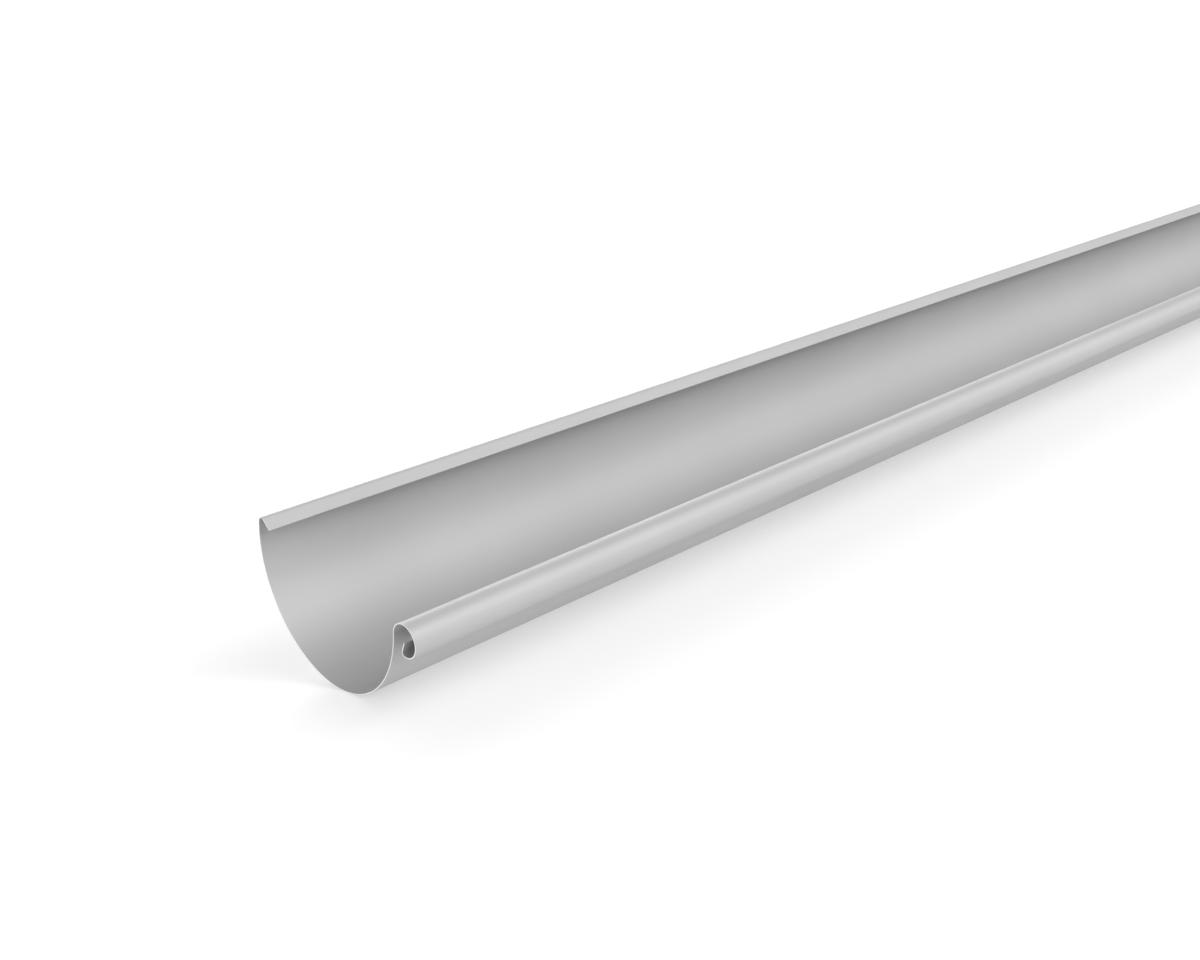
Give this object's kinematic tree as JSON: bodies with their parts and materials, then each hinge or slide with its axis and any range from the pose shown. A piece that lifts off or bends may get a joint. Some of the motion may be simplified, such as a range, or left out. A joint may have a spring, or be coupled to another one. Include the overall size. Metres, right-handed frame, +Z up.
{
  "type": "half-round gutter section",
  "caption": "Half-round eaves gutter section in coated sheet steel, with a rolled front bead and an inward-folded rear edge.",
  "frame": {"origin": "centre of the bounding box's base: half-way along the gutter, on the floor that it lies on", "axes": "+X along the gutter, from its left end to its right end as seen from the front bead; +Y from the front bead to the rear wall; +Z up, with the gutter rolled 14.0 degrees bead side down from its hanging position, as it rests unheld on a level floor"},
  "size_m": [2, 0.1408, 0.0928],
  "materials": {
    "coated_steel": "satin"
  },
  "bodies": {
    "root": {"gutter": "coated_steel"}
  },
  "joints": []
}
